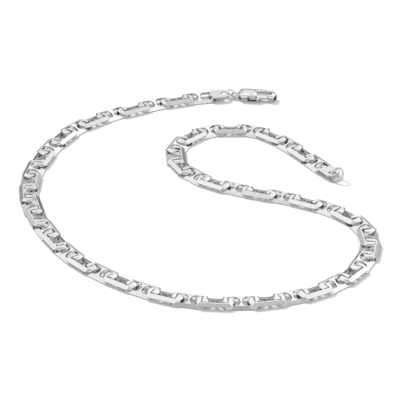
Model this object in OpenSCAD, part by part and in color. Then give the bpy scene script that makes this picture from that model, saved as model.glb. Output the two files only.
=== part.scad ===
// Mariner link neck chain, lying open on a table: flat studded links that lock through one
// another, a tag at each end, a jump ring with a lobster clasp, and a ring for the clasp.
// Millimetres, +Z up, the table at z = 0.

/* [Chain] */
// number of links
link_count = 54; // [40:1:64]
// distance from link to link when the chain is drawn out
pitch = 9.5; // [8:0.1:12]
// how much the links close up in a bend, as a share of the turn in radians
bend_slack = 0.25; // [0.2:0.01:0.4]
// slope of each link's middle bar, alternately to the left and right
roll = 17; // [14:0.5:20]

/* [Link] */
// width across a link
link_w = 7.2; // [6.6:0.1:9]
// height of the chain, filed flat above and below
chain_h = 2.2; // [2:0.05:2.6]
// play between two links when the chain is drawn out
link_play = 0.2; // [0.15:0.05:0.5]
// length of the bar at each end of a link
end_bar = 2.1; // [1.8:0.1:2.3]
// width of the two openings in a link
hole_w = 4; // [3.9:0.1:4.2]
// width of the bar across the middle of a link at its waist
stud_w = 0.55; // [0.4:0.05:0.8]
// thickness of that bar
stud_t = 0.8; // [0.6:0.05:0.9]
// half width of an end bar's core, which is as thick as the chain, at the link's end
core_half = 0.75; // [0.5:0.05:0.8]
// the same, beside the opening
core_in = 1.5; // [1:0.1:1.6]
// clear height between two links' rails, where one passes over the other
pass_gap = 0.24; // [0.2:0.02:0.3]
// half width of the flat along the top of a link
facet_half = 2.4; // [2.25:0.05:2.6]
// slope of the raised rail's outer facet
facet_slope = 32; // [20:1:34]
// half width from which the low rail's top slopes down to its edge
low_half = 2.05; // [2:0.05:2.3]
// that slope
low_slope = 21; // [14:1:22]
// slope of the small facet underneath
under_slope = 8; // [5:1:10]
// how much narrower the rails are at their ends, on each side
bow = 0.65; // [0.4:0.05:0.75]
// width of the facet round the ends
end_facet = 0.7; // [0.5:0.05:0.8]

/* [Tags] */
// width of a tag
tag_w = 6.6; // [6:0.1:8]
// thickness of a tag's plate
tag_t = 0.55; // [0.5:0.05:0.6]
// length of a tag's plate past the loop
tag_len = 5.3; // [4.6:0.1:7]
// width of the loop that holds the last link
loop_w = 2; // [1.6:0.1:2.2]
// thickness of the loop's metal
loop_t = 0.4; // [0.35:0.05:0.5]
// thickness of the end links' last bar, filed thin for the loop
thin_t = 0.8; // [0.7:0.05:0.9]
// hole for the ring
tag_hole_d = 2.9; // [2.8:0.1:3.1]
// metal left outside that hole
tag_rim = 0.65; // [0.55:0.05:0.7]

/* [Rings] */
// outer diameter of the clasp's jump ring
jump_d = 4.2; // [4.1:0.1:4.6]
// how far it leans from upright
jump_lean = 35; // [25:1:38]
// outer diameter of the ring at the free end
end_ring_d = 6.4; // [6:0.1:8]
// wire of both rings
ring_wire = 0.8; // [0.6:0.05:0.8]
// how far the free ring leans from lying flat
end_ring_lean = 42; // [40:1:60]

/* [Clasp] */
// length from the eye to the nose
clasp_len = 17; // [16.5:0.5:19]
// width of the clasp
clasp_w = 7.2; // [7:0.1:8.4]
// thickness of the clasp
clasp_t = 3.1; // [2.8:0.1:4]
// hole in the clasp's eye
eye_d = 2; // [1.8:0.1:2.1]
// width of the arm round the nose
arm_w = 1.4; // [1.1:0.1:1.6]
// thickness of the lever
lever_t = 1.6; // [1.2:0.1:1.8]
// diameter of the pin
pin_d = 1; // [0.8:0.1:1.2]
// turn of the clasp from the line of its tag
clasp_swing = -11; // [-30:1:30]

/* [Hidden] */
$fn = 48;

// The route of the chain from the clasp's tag to the free tag: its few points, drawn through
// by a smooth curve. They give the shape only; the length comes from the links.
route = [[10.9, 82.6], [-5.1, 80.8], [-29.6, 69.7], [-48.5, 57.2], [-60.7, 28.8], [-63.7, 4.6],
         [-57, -18.1], [-44.4, -43.5], [-26.1, -59.1], [-5.4, -72.4], [23.1, -73.3], [44.4, -65.4],
         [58.6, -52.3], [65.9, -31.5], [59.8, -12.8], [36.9, 1.6], [3.9, 10.1], [-11, 31.6],
         [-2.6, 51.6], [15, 56.1], [30.9, 51.9], [51.7, 19]];

// the curve through the route, as short steps
steps = 10;
ends = concat([2 * route[0] - route[1]], route,
              [2 * route[len(route) - 1] - route[len(route) - 2]]);
function blend(i, u) =
    ((1 - u) ^ 3 * ends[i] + (3 * u ^ 3 - 6 * u ^ 2 + 4) * ends[i + 1]
     + (-3 * u ^ 3 + 3 * u ^ 2 + 3 * u + 1) * ends[i + 2] + u ^ 3 * ends[i + 3]) / 6;
curve = concat([for (i = [0 : len(ends) - 4]) for (k = [0 : steps - 1]) blend(i, k / steps)],
               [blend(len(ends) - 4, 1)]);
count = len(curve);
step_len = [for (i = [0 : count - 2]) norm(curve[i + 1] - curve[i])];
function heading(v) = atan2(v[1], v[0]);
function wrap(a) = a - 360 * round(a / 360);
step_turn = [for (i = [0 : count - 2]) i == 0 ? 0
             : abs(wrap(heading(curve[i + 1] - curve[i]) - heading(curve[i] - curve[i - 1]))) * PI / 180];
function total(v, i = 0) = i == len(v) ? 0 : v[i] + total(v, i + 1);

// the whole curve is scaled so that the links fill it, a little closer together in the bends
middle = round(link_count / 2);
chain_run = (link_count + 1) * pitch;
grow = (chain_run - bend_slack * pitch * total(step_turn)) / total(step_len);
step_use = grow * step_len + bend_slack * pitch * step_turn;
used = [for (i = 0, s = 0; i < count; s = s + (i < count - 1 ? step_use[i] : 0), i = i + 1) s];
table_x = [for (i = [0 : count - 1]) [used[i], grow * curve[i][0]]];
table_y = [for (i = [0 : count - 1]) [used[i], grow * curve[i][1]]];
function on_route(k) = [lookup(k * pitch, table_x), lookup(k * pitch, table_y)];
raw = [for (k = [0 : link_count + 1]) on_route(k)];

// link sizes that follow from the others
link_len = pitch + link_play + 2 * end_bar;
half_len = link_len / 2;
hole_x = half_len - end_bar;
lobe_r = 0.65 * link_w;
flare_r = 0.6 * hole_w;
bow_r = (half_len - 0.3 * link_w) ^ 2 / (2 * bow);
rail_edge = link_w / 2 + 0.1;
edge_z = chain_h / 2 - (rail_edge - facet_half) * tan(facet_slope);
low_z = -pass_gap / 2 - (rail_edge - low_half) * tan(low_slope);
under_z = (rail_edge - facet_half) * tan(under_slope) - chain_h / 2;
lobe_drop = end_facet * tan(facet_slope);

// tag sizes that follow
loop_x0 = hole_x - 0.25 - loop_t;
plate_x0 = half_len + 0.2;
cover_x0 = hole_x + 0.4;
tag_end = plate_x0 + tag_len;
tag_z = chain_h - tag_t / 2;
tag_hole_x = tag_end - tag_rim - tag_hole_d / 2;

// jump ring, leaning, through the tag's hole and the clasp's eye
jump_r = (jump_d - ring_wire) / 2;
jump_z = jump_r * cos(jump_lean) + ring_wire / 2;
tag_rise = (tag_z - jump_z) / cos(jump_lean);
eye_rise = (clasp_t / 2 - jump_z) / cos(jump_lean);
jump_x = tag_hole_x + 0.75 + sqrt(jump_r ^ 2 - tag_rise ^ 2);
eye_x = jump_x + sqrt(jump_r ^ 2 - eye_rise ^ 2) - 0.1;
eye_y = (eye_rise - tag_rise) * sin(jump_lean);

// ring at the free end, leaning, one side through the tag's hole
end_r = (end_ring_d - ring_wire) / 2;
end_z = end_r * sin(end_ring_lean) + ring_wire / 2;
end_drop = (end_z - tag_z) / (end_r * sin(end_ring_lean));
end_x = tag_hole_x + end_r * sqrt(1 - end_drop ^ 2) - ring_wire / 2;
end_y = end_r * end_drop * cos(end_ring_lean);

// clasp sizes that follow, from the eye at its origin, nose along +x, lever on -y
half_w = clasp_w / 2;
eye_rim = 0.6;
eye_t = 0.28 * clasp_t;
nose_r = half_w + 2.5;
nose_x = clasp_len + 0.25 - nose_r;
tip_r = 9;
mouth_x0 = nose_x - 2;
mouth_x1 = nose_x + 2.4;
pivot = [mouth_x0 - 2.3, -0.53 * half_w];
lever_reach = mouth_x1 + 1 - pivot[0];
lever_root = 1.5;
slot_room = 0.15;
catch_y = -0.58 * half_w;
lever_gap = 0.12;
run_fit = 0.05;

// where each piece stands
clasp_dir = heading(raw[0] - raw[1]);
free_dir = heading(raw[link_count + 1] - raw[link_count]);
function turned(p, a) = [p[0] * cos(a) - p[1] * sin(a), p[0] * sin(a) + p[1] * cos(a)];
function link_dir(k) = heading(raw[k + 1] - raw[k - 1]);
bar_x = half_len - end_bar / 2;
raw_clasp_tag = raw[1] - turned([bar_x, 0], link_dir(1)) - turned([bar_x, 0], clasp_dir);
raw_free_tag = raw[link_count] + turned([bar_x, 0], link_dir(link_count)) - turned([bar_x, 0], free_dir);
raw_eye = raw_clasp_tag + turned([eye_x, eye_y], clasp_dir);
xs = [for (p = raw) p[0]];
ys = [for (p = raw) p[1]];
centre = [(min(xs) + max(xs)) / 2, (min(ys) - link_w / 2 + raw_eye[1] + half_w) / 2];
spot = [for (p = raw) p - centre];

// a link lies along the line between its neighbours
module at_link(k) {
    translate([spot[k][0], spot[k][1], chain_h / 2])
        rotate([0, 0, link_dir(k)])
            children();
}

// a tag swings on the last link's end bar
module at_clasp_tag() {
    translate(raw_clasp_tag - centre)
        rotate([0, 0, clasp_dir])
            children();
}

module at_free_tag() {
    translate(raw_free_tag - centre)
        rotate([0, 0, free_dir])
            children();
}

module at_clasp() {
    at_clasp_tag()
        translate([eye_x, eye_y, clasp_t / 2])
            rotate([0, 0, clasp_swing])
                children();
}

module slab(t) {
    translate([0, 0, -t / 2])
        linear_extrude(height = t)
            children();
}

// a link seen from above: two slightly bowed rails and two rounded end bars
module link_outline() {
    difference() {
        intersection() {
            union() {
                for (s = [-1, 1])
                    translate([s * (half_len - lobe_r), 0])
                        circle(r = lobe_r);
            }
            for (s = [-1, 1])
                translate([0, s * (link_w / 2 - bow_r)])
                    circle(r = bow_r, $fn = 240);
        }
        square([2 * hole_x, hole_w], center = true);
    }
}

// the rounded ends, with a facet along their upper edge
module link_ends() {
    for (s = [-1, 1])
        translate([s * (half_len - lobe_r), 0, -chain_h / 2]) {
            cylinder(r = lobe_r + 0.1, h = chain_h - lobe_drop);
            translate([0, 0, chain_h - lobe_drop])
                cylinder(r1 = lobe_r, r2 = lobe_r - end_facet, h = lobe_drop);
        }
}

// a link seen along the chain: its raised rail on +y, its low rail on -y, each sloping outside,
// with room for the next links' rails to pass under the one and over the other
module link_section() {
    h = chain_h / 2;
    g = pass_gap / 2;
    polygon([[-core_half, h], [facet_half, h], [rail_edge, edge_z], [rail_edge, g], [core_half, g],
             [core_half, -h], [-facet_half, -h], [-rail_edge, under_z], [-rail_edge, low_z],
             [-low_half, -g], [-core_half, -g]]);
}

// the bar across the middle, from the low rail up to the raised one, wider where it joins them
module link_stud() {
    reach = hole_w / 2 + 0.3;
    slab(stud_t)
        difference() {
            square([stud_w + flare_r, 2 * reach], center = true);
            for (s = [-1, 1])
                translate([s * (stud_w / 2 + flare_r), 0])
                    circle(r = flare_r);
        }
}

// the cores of the end bars, wider beside the opening, so that they clear the next links' rails
// in a bend
module bar_cores() {
    for (s = [-1, 1])
        polygon([[s * (hole_x - 0.1), -core_in], [s * half_len, -core_half],
                 [s * half_len, core_half], [s * (hole_x - 0.1), core_in]]);
}

// side is 1 with the raised rail on +y, -1 on -y; tag_side is the end that a tag's loop holds, or 0
module link(side, tag_side) {
    mirror([0, side == 1 ? 0 : 1, 0]) {
        difference() {
            intersection() {
                slab(chain_h)
                    link_outline();
                union() {
                    rotate([90, 0, 90])
                        slab(link_len + 2)
                            link_section();
                    slab(chain_h)
                        bar_cores();
                }
                link_ends();
            }
            if (tag_side != 0)
                translate([tag_side * (hole_x + half_len + 1) / 2, 0, 0])
                    cube([end_bar + 1, link_w + 1, chain_h + 1], center = true);
        }
        if (tag_side != 0)
            intersection() {
                slab(thin_t)
                    link_outline();
                translate([tag_side * (hole_x + half_len) / 2, 0, 0])
                    cube([end_bar + 0.6, link_w, chain_h], center = true);
            }
        rotate([roll, 0, 0])
            link_stud();
    }
}

// the chain in two halves, which meet at its middle; a link is raised on the other side from the
// last
module links(first, last) {
    color([0.82, 0.82, 0.84])
        for (k = [first : last])
            at_link(k)
                link(k % 2 == 1 ? -1 : 1, k == 1 ? -1 : k == link_count ? 1 : 0);
}

module chain_clasp_side() {
    links(1, middle);
}

module chain_free_side() {
    links(middle + 1, link_count);
}

// a tag: a flat plate with a rounded end and a hole, level with the chain's top, that covers the
// last link's thin bar, and a loop round that bar below it
module tag() {
    color([0.85, 0.85, 0.87])
        difference() {
            union() {
                intersection() {
                    translate([cover_x0, -tag_w / 2, tag_z - tag_t / 2])
                        cube([tag_end - cover_x0, tag_w, tag_t]);
                    translate([tag_end - tag_w / 2 - 0.6, 0, 0])
                        union() {
                            cylinder(r = tag_w / 2 + 0.6, h = 2 * chain_h);
                            translate([-tag_end, -tag_w / 2, 0])
                                cube([tag_end, tag_w, 2 * chain_h]);
                        }
                }
                translate([loop_x0, -loop_w / 2, 0])
                    cube([plate_x0 + 0.6 - loop_x0, loop_w, chain_h]);
            }
            translate([loop_x0 + loop_t, -loop_w, loop_t])
                cube([plate_x0 - loop_x0 - loop_t, 2 * loop_w, chain_h - loop_t - tag_t]);
            translate([tag_hole_x, 0, -1])
                cylinder(d = tag_hole_d, h = 2 * chain_h);
        }
}

module clasp_end_tag() {
    at_clasp_tag()
        tag();
}

module free_end_tag() {
    at_free_tag()
        tag();
}

module ring(r) {
    color([0.83, 0.83, 0.85])
        rotate_extrude()
            translate([r, 0])
                circle(d = ring_wire);
}

module jump_ring() {
    at_clasp_tag()
        translate([jump_x, -tag_rise * sin(jump_lean), jump_z])
            rotate([90 - jump_lean, 0, 0])
                ring(jump_r);
}

module end_ring() {
    at_free_tag()
        translate([end_x, end_y, end_z])
            rotate([end_ring_lean, 0, 0])
                ring(end_r);
}

// the clasp's outline: arched at the back, the arm curving over to a rounded nose
module clasp_outline() {
    intersection() {
        translate([0, -half_w])
            square([clasp_len + 2, clasp_w]);
        union() {
            translate([nose_x, half_w - nose_r])
                circle(r = nose_r);
            translate([0, -half_w])
                square([nose_x, clasp_w]);
        }
        union() {
            translate([clasp_len + 0.25 - tip_r, half_w / 3])
                circle(r = tip_r);
            translate([0, -half_w])
                square([clasp_len + 0.25 - tip_r, clasp_w]);
        }
        union() {
            translate([1.5 + 1.65 * half_w, 0])
                circle(r = 1.65 * half_w);
            translate([1.5 + 1.65 * half_w, -half_w])
                square([clasp_len, clasp_w]);
        }
    }
}

// the space inside the arm, open at the side that the lever closes
module clasp_mouth() {
    intersection() {
        union() {
            translate([mouth_x0, catch_y])
                square([clasp_len, half_w - arm_w - catch_y]);
            translate([mouth_x0, -2 * half_w])
                square([mouth_x1 - mouth_x0, 2 * half_w]);
        }
        union() {
            translate([nose_x, half_w - nose_r])
                circle(r = nose_r - arm_w);
            translate([0, -2 * half_w])
                square([nose_x, 4 * half_w]);
        }
        translate(pivot)
            circle(r = lever_reach + 0.3);
    }
}

// the slot between the clasp's two cheeks, where the lever's root turns
module lever_slot() {
    translate(pivot) {
        circle(r = lever_root + 0.25);
        translate([-lever_root - 0.25, -clasp_w])
            square([lever_root + 0.25, clasp_w]);
        translate([0, -clasp_w])
            square([mouth_x0 + 0.1 - pivot[0], clasp_w + lever_root + 1]);
    }
}

module clasp_body() {
    color([0.86, 0.86, 0.88])
        at_clasp()
            difference() {
                union() {
                    difference() {
                        slab(clasp_t)
                            clasp_outline();
                        slab(clasp_t + 2)
                            clasp_mouth();
                        slab(lever_t + 2 * slot_room)
                            lever_slot();
                    }
                    slab(eye_t) {
                        circle(d = eye_d + 2 * eye_rim);
                        translate([0, -1])
                            square([2.4, 2]);
                    }
                }
                cylinder(d = eye_d, h = 2 * clasp_t, center = true);
                translate([pivot[0], pivot[1], 0])
                    cylinder(d = pin_d + 0.04, h = 2 * clasp_t, center = true);
            }
}

module clasp_pin() {
    color([0.8, 0.8, 0.82])
        at_clasp()
            translate([pivot[0], pivot[1], 0])
                cylinder(d = pin_d, h = clasp_t - 0.1, center = true);
}

// the lever: closed against the inside of the arm's tip, with a nub to push it in
module clasp_lever() {
    tongue_y = catch_y + lever_gap;
    color([0.87, 0.87, 0.89])
        at_clasp()
            difference() {
                slab(lever_t) {
                    translate(pivot)
                        circle(r = lever_root);
                    polygon([[pivot[0], pivot[1] - lever_root], [mouth_x1 - 0.2, -0.85 * half_w],
                             [mouth_x1 - 0.2, tongue_y + 0.8], [pivot[0], pivot[1] + lever_root - 0.2]]);
                    translate([mouth_x1 - 0.4, tongue_y])
                        square([pivot[0] + lever_reach - mouth_x1 + 0.4, 0.8]);
                    translate([mouth_x0 + 0.2, pivot[1] - lever_root - 0.3])
                        circle(r = 0.9);
                }
                translate([pivot[0], pivot[1], 0])
                    cylinder(d = pin_d + 2 * run_fit, h = 2 * lever_t, center = true);
            }
}

chain_clasp_side();
chain_free_side();
clasp_end_tag();
free_end_tag();
jump_ring();
clasp_body();
clasp_pin();
clasp_lever();
end_ring();
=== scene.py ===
import math

import bmesh
import bpy
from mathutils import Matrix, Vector
from mathutils.bvhtree import BVHTree


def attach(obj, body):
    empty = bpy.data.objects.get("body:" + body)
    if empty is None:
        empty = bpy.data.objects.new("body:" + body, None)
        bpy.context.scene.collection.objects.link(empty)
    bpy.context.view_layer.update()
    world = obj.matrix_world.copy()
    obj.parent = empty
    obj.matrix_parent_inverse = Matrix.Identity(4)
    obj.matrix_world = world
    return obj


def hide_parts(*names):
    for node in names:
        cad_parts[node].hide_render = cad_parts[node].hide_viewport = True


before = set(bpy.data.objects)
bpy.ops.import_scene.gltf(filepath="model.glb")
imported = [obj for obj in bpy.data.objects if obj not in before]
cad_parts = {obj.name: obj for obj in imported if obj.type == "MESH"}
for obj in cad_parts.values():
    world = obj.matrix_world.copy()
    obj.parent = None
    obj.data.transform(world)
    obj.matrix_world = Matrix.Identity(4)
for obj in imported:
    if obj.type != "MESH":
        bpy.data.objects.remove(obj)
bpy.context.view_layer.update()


# ---- The chain ----
# 54 flat silver links, threaded through one another, soldered shut and filed flat as one length,
# then tumbled bright. Their worked edges are slightly rounded, and each link is raised on the
# other side from the last.

MM = 0.001
LINK_EDGE = 0.11        # mm, how far the file and the tumbling round an edge
EDGE_STEPS = 2
SAME_POINT = 0.0005     # mm, under which two corners are one
FLAT = math.radians(0.8)
WORKED = math.radians(9)
FLATS_FIRST = 60        # how much the large flats lead the shading of the rounded edges

SWELL_SCALE = 420       # waves to the metre
MARK_SCALE = 5200
MARK_BREAK = 0.7
MARK_DULL = 0.06
PAINTED_SHADE_BELOW = 2.0 * MM   # painted shade: the low side is coloured darker up to this height
LOW_PAINTED_SHADE = 0.2
SWELL_TINT = 0.15


class Field:
    """A value that varies over a surface or over the sky, with ordinary arithmetic."""

    def __init__(self, graph, socket):
        self.graph = graph
        self.socket = socket

    def maths(self, operation, *values):
        return self.graph.node("ShaderNodeMath", {"operation": operation}, dict(enumerate(values)))

    def __add__(self, other):
        return self.maths("ADD", self, other)

    def __sub__(self, other):
        return self.maths("SUBTRACT", self, other)

    def __rsub__(self, other):
        return self.maths("SUBTRACT", other, self)

    def __mul__(self, other):
        return self.maths("MULTIPLY", self, other)

    def __truediv__(self, other):
        return self.maths("DIVIDE", self, other)

    __radd__ = __add__
    __rmul__ = __mul__

    def ramp(self, low, high, start=0.0, end=1.0):
        """This value's way from low to high, eased, as a value from start to end."""
        return self.graph.node("ShaderNodeMapRange", {"interpolation_type": "SMOOTHSTEP"},
                               {"Value": self, "From Min": low, "From Max": high,
                                "To Min": start, "To Max": end})

    def curve(self, *stops):
        """A smooth grey level for this value, given as (value, level) pairs."""
        first, last = stops[0][0], stops[-1][0]
        spread = [((at - first) / (last - first), level) for at, level in stops]
        return self.graph.node("ShaderNodeValToRGB", {"stops": spread},
                               {0: (self - first) / (last - first)})


class Graph:
    """The nodes of a material or of the sky."""

    def __init__(self, owner):
        owner.use_nodes = True
        self.tree = owner.node_tree

    def node(self, kind, settings=None, inputs=None, output=0):
        made = self.tree.nodes.new(kind)
        for key, value in (settings or {}).items():
            if key == "stops":
                ramp = made.color_ramp
                while len(ramp.elements) < len(value):
                    ramp.elements.new(0.5)
                for element, (at, level) in zip(ramp.elements, value):
                    element.position = at
                    element.color = (level, level, level, 1)
            else:
                setattr(made, key, value)
        for key, value in (inputs or {}).items():
            self.feed(made.inputs[key], value)
        return Field(self, made.outputs[output])

    def feed(self, socket, value):
        if isinstance(value, Field):
            self.tree.links.new(value.socket, socket)
        else:
            socket.default_value = value

    def noise(self, place, scale, detail, rough=0.5):
        return self.node("ShaderNodeTexNoise", None,
                         {"Vector": place, "Scale": scale, "Detail": detail, "Roughness": rough})

    def parts(self, place):
        return [self.node("ShaderNodeSeparateXYZ", None, {"Vector": place}, axis) for axis in "XYZ"]


class Finish(Graph):
    """A surface, made of nodes round one Principled shader."""

    def __init__(self, name, metallic=1.0):
        self.material = bpy.data.materials.new(name)
        super().__init__(self.material)
        self.shader = self.tree.nodes["Principled BSDF"]
        self.shader.inputs["Metallic"].default_value = metallic
        self.place = self.node("ShaderNodeTexCoord", output="Object")

    def set(self, **sockets):
        for key, value in sockets.items():
            self.feed(self.shader.inputs[key.replace("_", " ")], value)


def silver(name, shade, dark, smooth, ripple, scratch):
    """Polished silver: a faint swell left by tumbling, hairline marks, and painted shade on the low
    side.
    """
    finish = Finish(name)
    swell = finish.noise(finish.place, SWELL_SCALE, 1)
    marks = finish.noise(finish.place, MARK_SCALE, 3, MARK_BREAK)
    # Painted shade: the colour darkens towards the table, for the shade there and the shaded floor
    # that the low sides mirror; the swell adds a faint random tone.
    low = finish.parts(finish.place)[2].ramp(0.0, PAINTED_SHADE_BELOW, 1.0, 0.0)
    tint = finish.node("ShaderNodeMix", {"data_type": "RGBA"},
                       {"Factor": low * LOW_PAINTED_SHADE + (1 - swell) * SWELL_TINT,
                        "A": (*shade, 1), "B": (*dark, 1)}, 2)
    ripples = finish.node("ShaderNodeBump", None,
                          {"Height": swell * ripple + marks * scratch,
                           "Strength": 1.0, "Distance": 1.0})
    finish.set(Base_Color=tint, Roughness=smooth + marks * MARK_DULL, Normal=ripples)
    return finish.material


def stand_for(node, name, mesh, body, material):
    """The finished mesh as a piece that takes the plain solid's place on its body."""
    mesh.materials.clear()
    mesh.materials.append(material)
    made = bpy.data.objects.new(name, mesh)
    bpy.context.scene.collection.objects.link(made)
    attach(made, body)
    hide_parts(node)
    return made


def worked_copy(node, name, edge, material):
    """A copy of a plain solid as the real piece is finished, with its sharp edges worked round."""
    piece = bmesh.new()
    piece.from_mesh(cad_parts[node].data)
    bmesh.ops.scale(piece, vec=(1 / MM,) * 3, verts=piece.verts)
    bmesh.ops.remove_doubles(piece, verts=piece.verts, dist=SAME_POINT)
    bmesh.ops.dissolve_limit(piece, angle_limit=FLAT, verts=piece.verts, edges=piece.edges)
    sharp = [e for e in piece.edges if e.is_manifold and e.calc_face_angle() > WORKED]
    bmesh.ops.bevel(piece, geom=sharp, offset=edge, offset_type="OFFSET", segments=EDGE_STEPS,
                    profile=0.5, affect="EDGES", material=-1, clamp_overlap=True)
    for face in piece.faces:
        face.smooth = True
    bmesh.ops.scale(piece, vec=(MM,) * 3, verts=piece.verts)
    mesh = bpy.data.meshes.new(name)
    piece.to_mesh(mesh)
    piece.free()
    made = stand_for(node, name, mesh, "chain", material)
    shading = made.modifiers.new("flats", "WEIGHTED_NORMAL")
    shading.keep_sharp = False
    shading.weight = FLATS_FIRST


link_silver = silver("link_silver", shade=(0.97, 0.97, 0.965), dark=(0.8, 0.8, 0.8),
                     smooth=0.10, ripple=0.03 * MM, scratch=0.0004 * MM)
worked_copy("chain_clasp_side", "chain_clasp_half", LINK_EDGE, link_silver)
worked_copy("chain_free_side", "chain_free_half", LINK_EDGE, link_silver)


# ---- The tags ----
# A flat plate at each end of the chain, soldered to a loop round the last link's end bar and
# drilled for a ring. Both are filed smooth.

TAG_EDGE = 0.1          # mm

tag_silver = silver("tag_silver", shade=(0.94, 0.94, 0.935), dark=(0.74, 0.74, 0.74),
                    smooth=0.12, ripple=0.02 * MM, scratch=0.0004 * MM)
worked_copy("clasp_end_tag", "clasp_tag_plate", TAG_EDGE, tag_silver)
worked_copy("free_end_tag", "free_tag_plate", TAG_EDGE, tag_silver)


# ---- The rings ----
# Drawn silver wire, closed with solder. One joins the clasp to its tag, and the clasp hooks the
# other. Both keep the plain solid's shape.


def refinish(node, material):
    """The plain solid itself, with the real piece's finish."""
    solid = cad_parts[node]
    solid.data.materials.clear()
    solid.data.materials.append(material)


ring_silver = silver("ring_silver", shade=(0.93, 0.93, 0.925), dark=(0.7, 0.7, 0.7),
                     smooth=0.12, ripple=0.01 * MM, scratch=0.0004 * MM)
refinish("jump_ring", ring_silver)
refinish("end_ring", ring_silver)


# ---- The clasp ----
# A lobster clasp: a cast silver body whose arm curls round to the nose, and a sprung lever that
# turns between the body's two cheeks. A rivet through both cheeks holds the lever.

CAST_GRAIN = 0.13 * MM      # the finest form that the casting keeps
BODY_SHOULDER = 2.6 * MM    # how far in from its sides the body's flat faces arch down
LEVER_SHOULDER = BODY_SHOULDER / 3
RIM = 0.4                   # height left at the sides, as a share of the solid's
POLISH_TURNS = 5
UPRIGHT = 0.2               # most lean of an upright face's normal
FULL_HEIGHT = 0.9           # how near the top or bottom an outer face reaches, as a share
OFF_FACE = 0.01 * MM


def side_walls(solid):
    """The upright outer faces of a solid, which nothing else of it faces, as a search tree."""
    whole = bmesh.new()
    whole.from_mesh(solid.data)
    bmesh.ops.remove_doubles(whole, verts=whole.verts, dist=SAME_POINT * MM)
    bmesh.ops.triangulate(whole, faces=whole.faces)
    seen = BVHTree.FromBMesh(whole)
    heights = [v.co.z for v in whole.verts]
    middle, half = (max(heights) + min(heights)) / 2, (max(heights) - min(heights)) / 2
    inside = [f for f in whole.faces if abs(f.normal.z) > UPRIGHT
              or max(abs(v.co.z - middle) for v in f.verts) < FULL_HEIGHT * half
              or seen.ray_cast(f.calc_center_median() + f.normal * OFF_FACE, f.normal)[0]]
    bmesh.ops.delete(whole, geom=inside, context="FACES")
    walls = BVHTree.FromBMesh(whole)
    whole.free()
    return walls


def keep_within(cast, solid):
    """Puts what has left the solid back on its skin, so that the lever keeps its gap in the slot."""
    whole = bmesh.new()
    whole.from_mesh(solid.data)
    skin = BVHTree.FromBMesh(whole)
    whole.free()
    for v in cast.verts:
        place, out = skin.find_nearest(v.co)[:2]
        if (v.co - place).dot(out) > 0:
            v.co = place


def cast_copy(node, name, shoulder, body, material):
    """A copy of a cast solid, with its flat faces arched down to its sides and all edges soft."""
    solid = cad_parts[node]
    rough = bpy.data.objects.new(name + "_rough", solid.data.copy())
    bpy.context.scene.collection.objects.link(rough)
    grain = rough.modifiers.new("grain", "REMESH")
    grain.mode = "VOXEL"
    grain.voxel_size = CAST_GRAIN
    remade = rough.evaluated_get(bpy.context.evaluated_depsgraph_get())
    mesh = bpy.data.meshes.new_from_object(remade)
    mesh.name = name
    bpy.data.objects.remove(rough)
    walls = side_walls(solid)
    heights = [v.co.z for v in solid.data.vertices]
    middle = (min(heights) + max(heights)) / 2
    cast = bmesh.new()
    cast.from_mesh(mesh)
    for v in cast.verts:
        run = 1 - min(walls.find_nearest(v.co)[3] / shoulder, 1)
        v.co.z = middle + (v.co.z - middle) * (RIM + (1 - RIM) * math.sqrt(1 - run * run))
    for turn in range(POLISH_TURNS):
        bmesh.ops.smooth_vert(cast, verts=cast.verts, factor=0.5,
                              use_axis_x=True, use_axis_y=True, use_axis_z=True)
    keep_within(cast, solid)
    for face in cast.faces:
        face.smooth = True
    cast.to_mesh(mesh)
    cast.free()
    stand_for(node, name, mesh, body, material)


clasp_silver = silver("clasp_silver", shade=(0.95, 0.95, 0.945), dark=(0.8, 0.8, 0.8),
                      smooth=0.2, ripple=0.02 * MM, scratch=0.0003 * MM)
cast_copy("clasp_body", "clasp_shell", BODY_SHOULDER, "chain", clasp_silver)
cast_copy("clasp_lever", "clasp_tongue", LEVER_SHOULDER, "lever", clasp_silver)
refinish("clasp_pin", clasp_silver)


# ---- The table, the light and the camera ----
# A plain white surface, one soft window light behind and to the left, and a room of pale and
# grey panels for the silver to mirror. The camera looks at the chain as in the photo.

TABLE_REACH = 2.0
TABLE_WHITE = (0.9, 0.9, 0.9, 1)
TABLE_ROUGH = 0.6

floor_mesh = bpy.data.meshes.new("table_top")
sheet = bmesh.new()
bmesh.ops.create_grid(sheet, x_segments=1, y_segments=1, size=TABLE_REACH)
sheet.to_mesh(floor_mesh)
sheet.free()
table_top = bpy.data.objects.new("table_top", floor_mesh)
bpy.context.scene.collection.objects.link(table_top)
white = Finish("table_white", metallic=0.0)
white.set(Base_Color=TABLE_WHITE, Roughness=TABLE_ROUGH)
floor_mesh.materials.append(white.material)
table_top.visible_glossy = False

WINDOW_PLACE = (-1.2, 1.66, 1.84)
WINDOW_SIZE = 0.6
WINDOW_WATTS = 58

window = bpy.data.lights.new("window_light", "AREA")
window.shape = "RECTANGLE"
window.size, window.size_y = WINDOW_SIZE, WINDOW_SIZE
window.energy = WINDOW_WATTS
window_light = bpy.data.objects.new("window_light", window)
window_light.location = WINDOW_PLACE
window_light.rotation_euler = (-Vector(WINDOW_PLACE)).to_track_quat("-Z", "Y").to_euler()
window_light.visible_glossy = False
bpy.context.scene.collection.objects.link(window_light)

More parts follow.
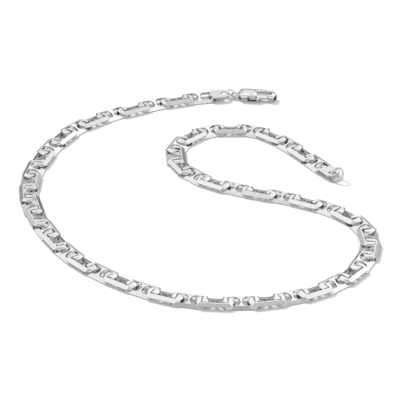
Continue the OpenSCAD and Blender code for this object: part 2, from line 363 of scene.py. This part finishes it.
# A direction's share across, back or up, and the grey level there.
WALL_LEVELS = ((-0.1, 0.15), (0.12, 0.2), (0.2, 0.3), (0.3, 0.55), (0.46, 0.78),
               (0.52, 0.98), (0.6, 1.08), (1.0, 1.08))
PANEL_LEVELS = ((-1.0, 1.0), (-0.6, 1.0), (-0.35, 0.5), (-0.15, 0.45), (-0.02, 0.62),
                (0.12, 0.62), (0.24, 0.36), (0.3, 0.42), (0.38, 0.75), (1.0, 0.75))
# From and to, then the levels at both where they aren't 0 and 1.
WALL_LEFT = (-0.1, 0.05, 0.84, 1.0)
HOOD_BACK = (0.42, 0.33)
HOOD_LEFT = (-0.38, -0.2)
HOOD_RIGHT = (0.5, 0.25, 0.35, 1.0)
LOW_FRONT = (0.3, -0.2, 0.03, 0.36)
LOW_BACK_UP = (-0.32, -0.14)
LOW_BACK = (0.3, 0.6)
LOW_BACK_LEVEL = 0.35
FOOT_UP = (-0.6, -0.9)
FOOT_LEVEL = 0.4
HORIZON = 0.03

room = bpy.data.worlds.new("room")
sky = Graph(room)
across, back, up = sky.parts(sky.node("ShaderNodeTexCoord", output="Generated"))
wall = up.curve(*WALL_LEVELS) * across.ramp(*WALL_LEFT)
panel = back.curve(*PANEL_LEVELS)
hood = back.ramp(*HOOD_BACK) * across.ramp(*HOOD_LEFT) * across.ramp(*HOOD_RIGHT)
above = wall * (1 - hood) + panel * hood
below = (back.ramp(*LOW_FRONT) + up.ramp(*LOW_BACK_UP) * back.ramp(*LOW_BACK) * LOW_BACK_LEVEL
         + up.ramp(*FOOT_UP) * FOOT_LEVEL)
level = above * up.ramp(-HORIZON, HORIZON) + below * up.ramp(HORIZON, -HORIZON)
backdrop = room.node_tree.nodes["Background"]
sky.feed(backdrop.inputs["Color"], level)
backdrop.inputs["Strength"].default_value = 1.0
bpy.context.scene.world = room
bpy.context.scene.view_settings.view_transform = "Standard"

SENSOR_WIDTH = 36       # mm, as the lens
LENS_LENGTH = 234
NEAREST_SEEN = 0.01
CAMERA_PLACE = (0.00131, -0.8474, 0.486)
CAMERA_TILT = math.radians(60.04)

lens = bpy.data.cameras.new("photo_camera")
lens.sensor_width = SENSOR_WIDTH
lens.lens = LENS_LENGTH
lens.clip_start = NEAREST_SEEN
camera = bpy.data.objects.new("photo_camera", lens)
camera.location = CAMERA_PLACE
camera.rotation_euler = (CAMERA_TILT, 0, 0)
bpy.context.scene.collection.objects.link(camera)
bpy.context.scene.camera = camera
